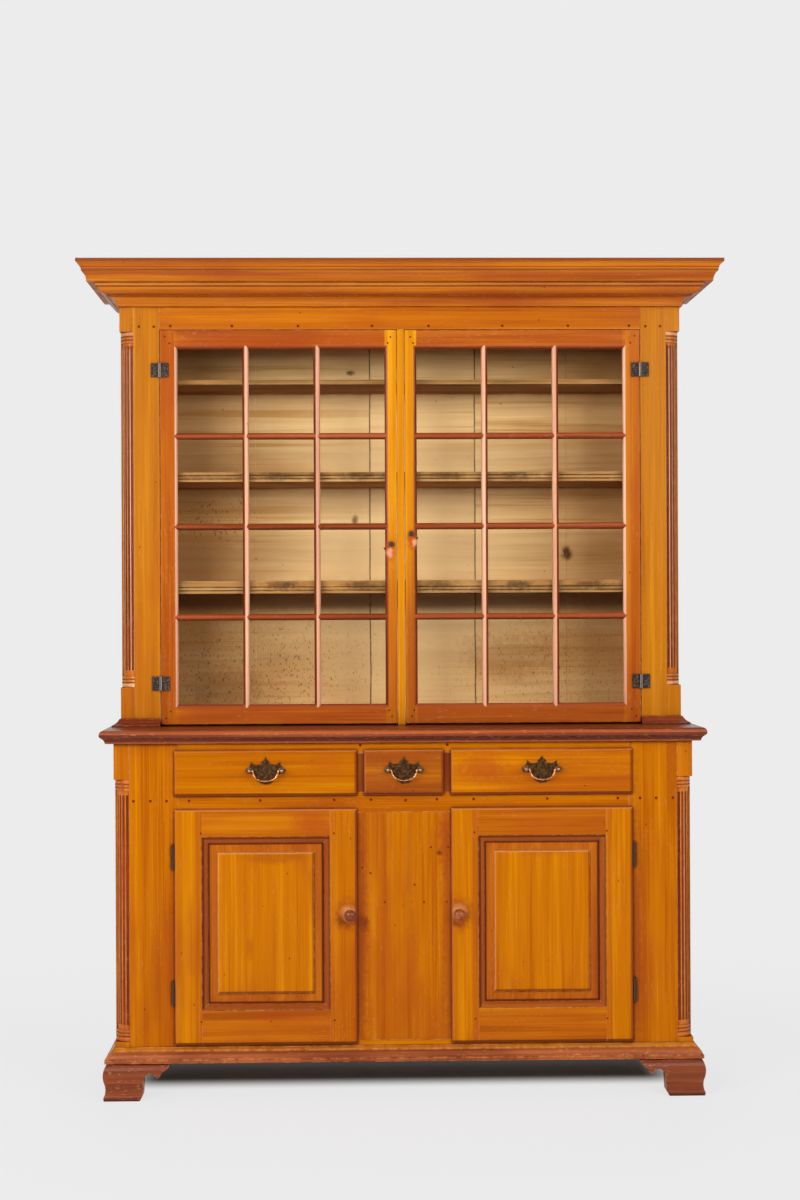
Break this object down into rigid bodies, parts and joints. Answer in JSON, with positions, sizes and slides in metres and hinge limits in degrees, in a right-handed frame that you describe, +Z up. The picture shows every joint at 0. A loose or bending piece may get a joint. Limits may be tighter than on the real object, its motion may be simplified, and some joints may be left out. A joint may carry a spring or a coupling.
{
  "type": "kitchen dresser",
  "caption": "Two-part wooden kitchen dresser with glazed cupboard doors over a base with lipped drawers, raised-panel doors, fluted corner columns and bracket feet.",
  "frame": {"origin": "on the floor under the middle of the bounding box", "axes": "+X to the right of someone facing the doors, +Y to the back, +Z up"},
  "size_m": [1.674, 0.554, 2.148],
  "materials": {
    "amber_wood": "old amber varnish",
    "sash_wood": "old orange varnish",
    "red_wood": "worn red-brown varnish",
    "raw_wood": "bare scrubbed wood",
    "glass": "clear window glass",
    "iron": "dark old iron",
    "brass": "dull worn brass"
  },
  "bodies": {
    "case": {"base_sides": "amber_wood", "base_corner_posts": "amber_wood", "base_stiles": "amber_wood", "base_outer_rails": "amber_wood", "drawer_rail": "amber_wood", "centre_board": "amber_wood", "drawer_dividers": "amber_wood", "upper_sides": "amber_wood", "upper_corner_posts": "amber_wood", "upper_stiles": "amber_wood", "frieze_rail": "amber_wood", "cornice": "amber_wood", "centre_stile": "sash_wood", "waist_board": "red_wood", "waist_cove": "red_wood", "base_moulding": "red_wood", "front_feet": "red_wood", "rear_feet": "red_wood", "base_columns": "red_wood", "upper_columns": "red_wood", "retaining_moulding": "red_wood", "base_back": "raw_wood", "base_floor": "raw_wood", "drawer_runners": "raw_wood", "upper_top": "raw_wood", "upper_floor": "raw_wood", "upper_back": "raw_wood", "lower_shelf": "raw_wood", "middle_shelf": "raw_wood", "top_shelf": "raw_wood", "upper_hinge_leaves": "iron", "base_hinge_leaves": "iron"},
    "left_sash_door": {"left_sash": "sash_wood", "left_glass": "glass", "left_sash_hinges": "iron"},
    "left_latch_turn": {"left_latch": "iron"},
    "left_base_door": {"left_base_door_frame": "amber_wood", "left_base_door_panel": "amber_wood", "left_base_door_hinges": "iron"},
    "left_knob_turn": {"left_base_knob": "red_wood"},
    "right_sash_door": {"right_sash": "sash_wood", "right_glass": "glass", "right_sash_hinges": "iron"},
    "right_latch_turn": {"right_latch": "iron"},
    "right_base_door": {"right_base_door_frame": "amber_wood", "right_base_door_panel": "amber_wood", "right_base_door_hinges": "iron"},
    "right_knob_turn": {"right_base_knob": "red_wood"},
    "left_drawer": {"left_drawer_front": "amber_wood", "left_drawer_box": "raw_wood", "left_drawer_pull": "brass"},
    "left_bail": {"left_drawer_bail": "brass"},
    "centre_drawer": {"centre_drawer_front": "amber_wood", "centre_drawer_box": "raw_wood", "centre_drawer_pull": "brass"},
    "centre_bail": {"centre_drawer_bail": "brass"},
    "right_drawer": {"right_drawer_front": "amber_wood", "right_drawer_box": "raw_wood", "right_drawer_pull": "brass"},
    "right_bail": {"right_drawer_bail": "brass"}
  },
  "joints": [
    {"name": "left_sash_hinge", "type": "hinge", "parent": "case", "child": "left_sash_door", "pos_m": [-0.63025, -0.0873, 1.46], "axis": [0, 0, -1], "range_deg": [0, 95]},
    {"name": "left_latch_pivot", "type": "hinge", "parent": "left_sash_door", "child": "left_latch_turn", "pos_m": [-0.026, -0.083, 1.41275], "axis": [0, -1, 0], "range_deg": [0, 142]},
    {"name": "left_base_door_hinge", "type": "hinge", "parent": "case", "child": "left_base_door", "pos_m": [-0.5885, -0.2473, 0.44], "axis": [0, 0, -1], "range_deg": [0, 110]},
    {"name": "left_knob_pivot", "type": "hinge", "parent": "left_base_door", "child": "left_knob_turn", "pos_m": [-0.139, -0.2524, 0.4655], "axis": [0, -1, 0], "range_deg": [0, 90]},
    {"name": "right_sash_hinge", "type": "hinge", "parent": "case", "child": "right_sash_door", "pos_m": [0.63025, -0.0873, 1.46], "axis": [0, 0, 1], "range_deg": [0, 95]},
    {"name": "right_latch_pivot", "type": "hinge", "parent": "right_sash_door", "child": "right_latch_turn", "pos_m": [0.026, -0.083, 1.43975], "axis": [0, 1, 0], "range_deg": [0, 142]},
    {"name": "right_base_door_hinge", "type": "hinge", "parent": "case", "child": "right_base_door", "pos_m": [0.5885, -0.2473, 0.44], "axis": [0, 0, 1], "range_deg": [0, 110]},
    {"name": "right_knob_pivot", "type": "hinge", "parent": "right_base_door", "child": "right_knob_turn", "pos_m": [0.139, -0.2524, 0.4655], "axis": [0, 1, 0], "range_deg": [0, 90]},
    {"name": "left_drawer_slide", "type": "slide", "parent": "case", "child": "left_drawer", "axis": [0, -1, 0], "range_m": [0, 0.36]},
    {"name": "left_bail_pivot", "type": "hinge", "parent": "left_drawer", "child": "left_bail", "pos_m": [-0.35175, -0.269, 0.8345], "axis": [-1, 0, 0], "range_deg": [0, 95]},
    {"name": "centre_drawer_slide", "type": "slide", "parent": "case", "child": "centre_drawer", "axis": [0, -1, 0], "range_m": [0, 0.36]},
    {"name": "centre_bail_pivot", "type": "hinge", "parent": "centre_drawer", "child": "centre_bail", "pos_m": [0, -0.269, 0.8345], "axis": [-1, 0, 0], "range_deg": [0, 95]},
    {"name": "right_drawer_slide", "type": "slide", "parent": "case", "child": "right_drawer", "axis": [0, -1, 0], "range_m": [0, 0.36]},
    {"name": "right_bail_pivot", "type": "hinge", "parent": "right_drawer", "child": "right_bail", "pos_m": [0.35175, -0.269, 0.8345], "axis": [-1, 0, 0], "range_deg": [0, 95]}
  ]
}
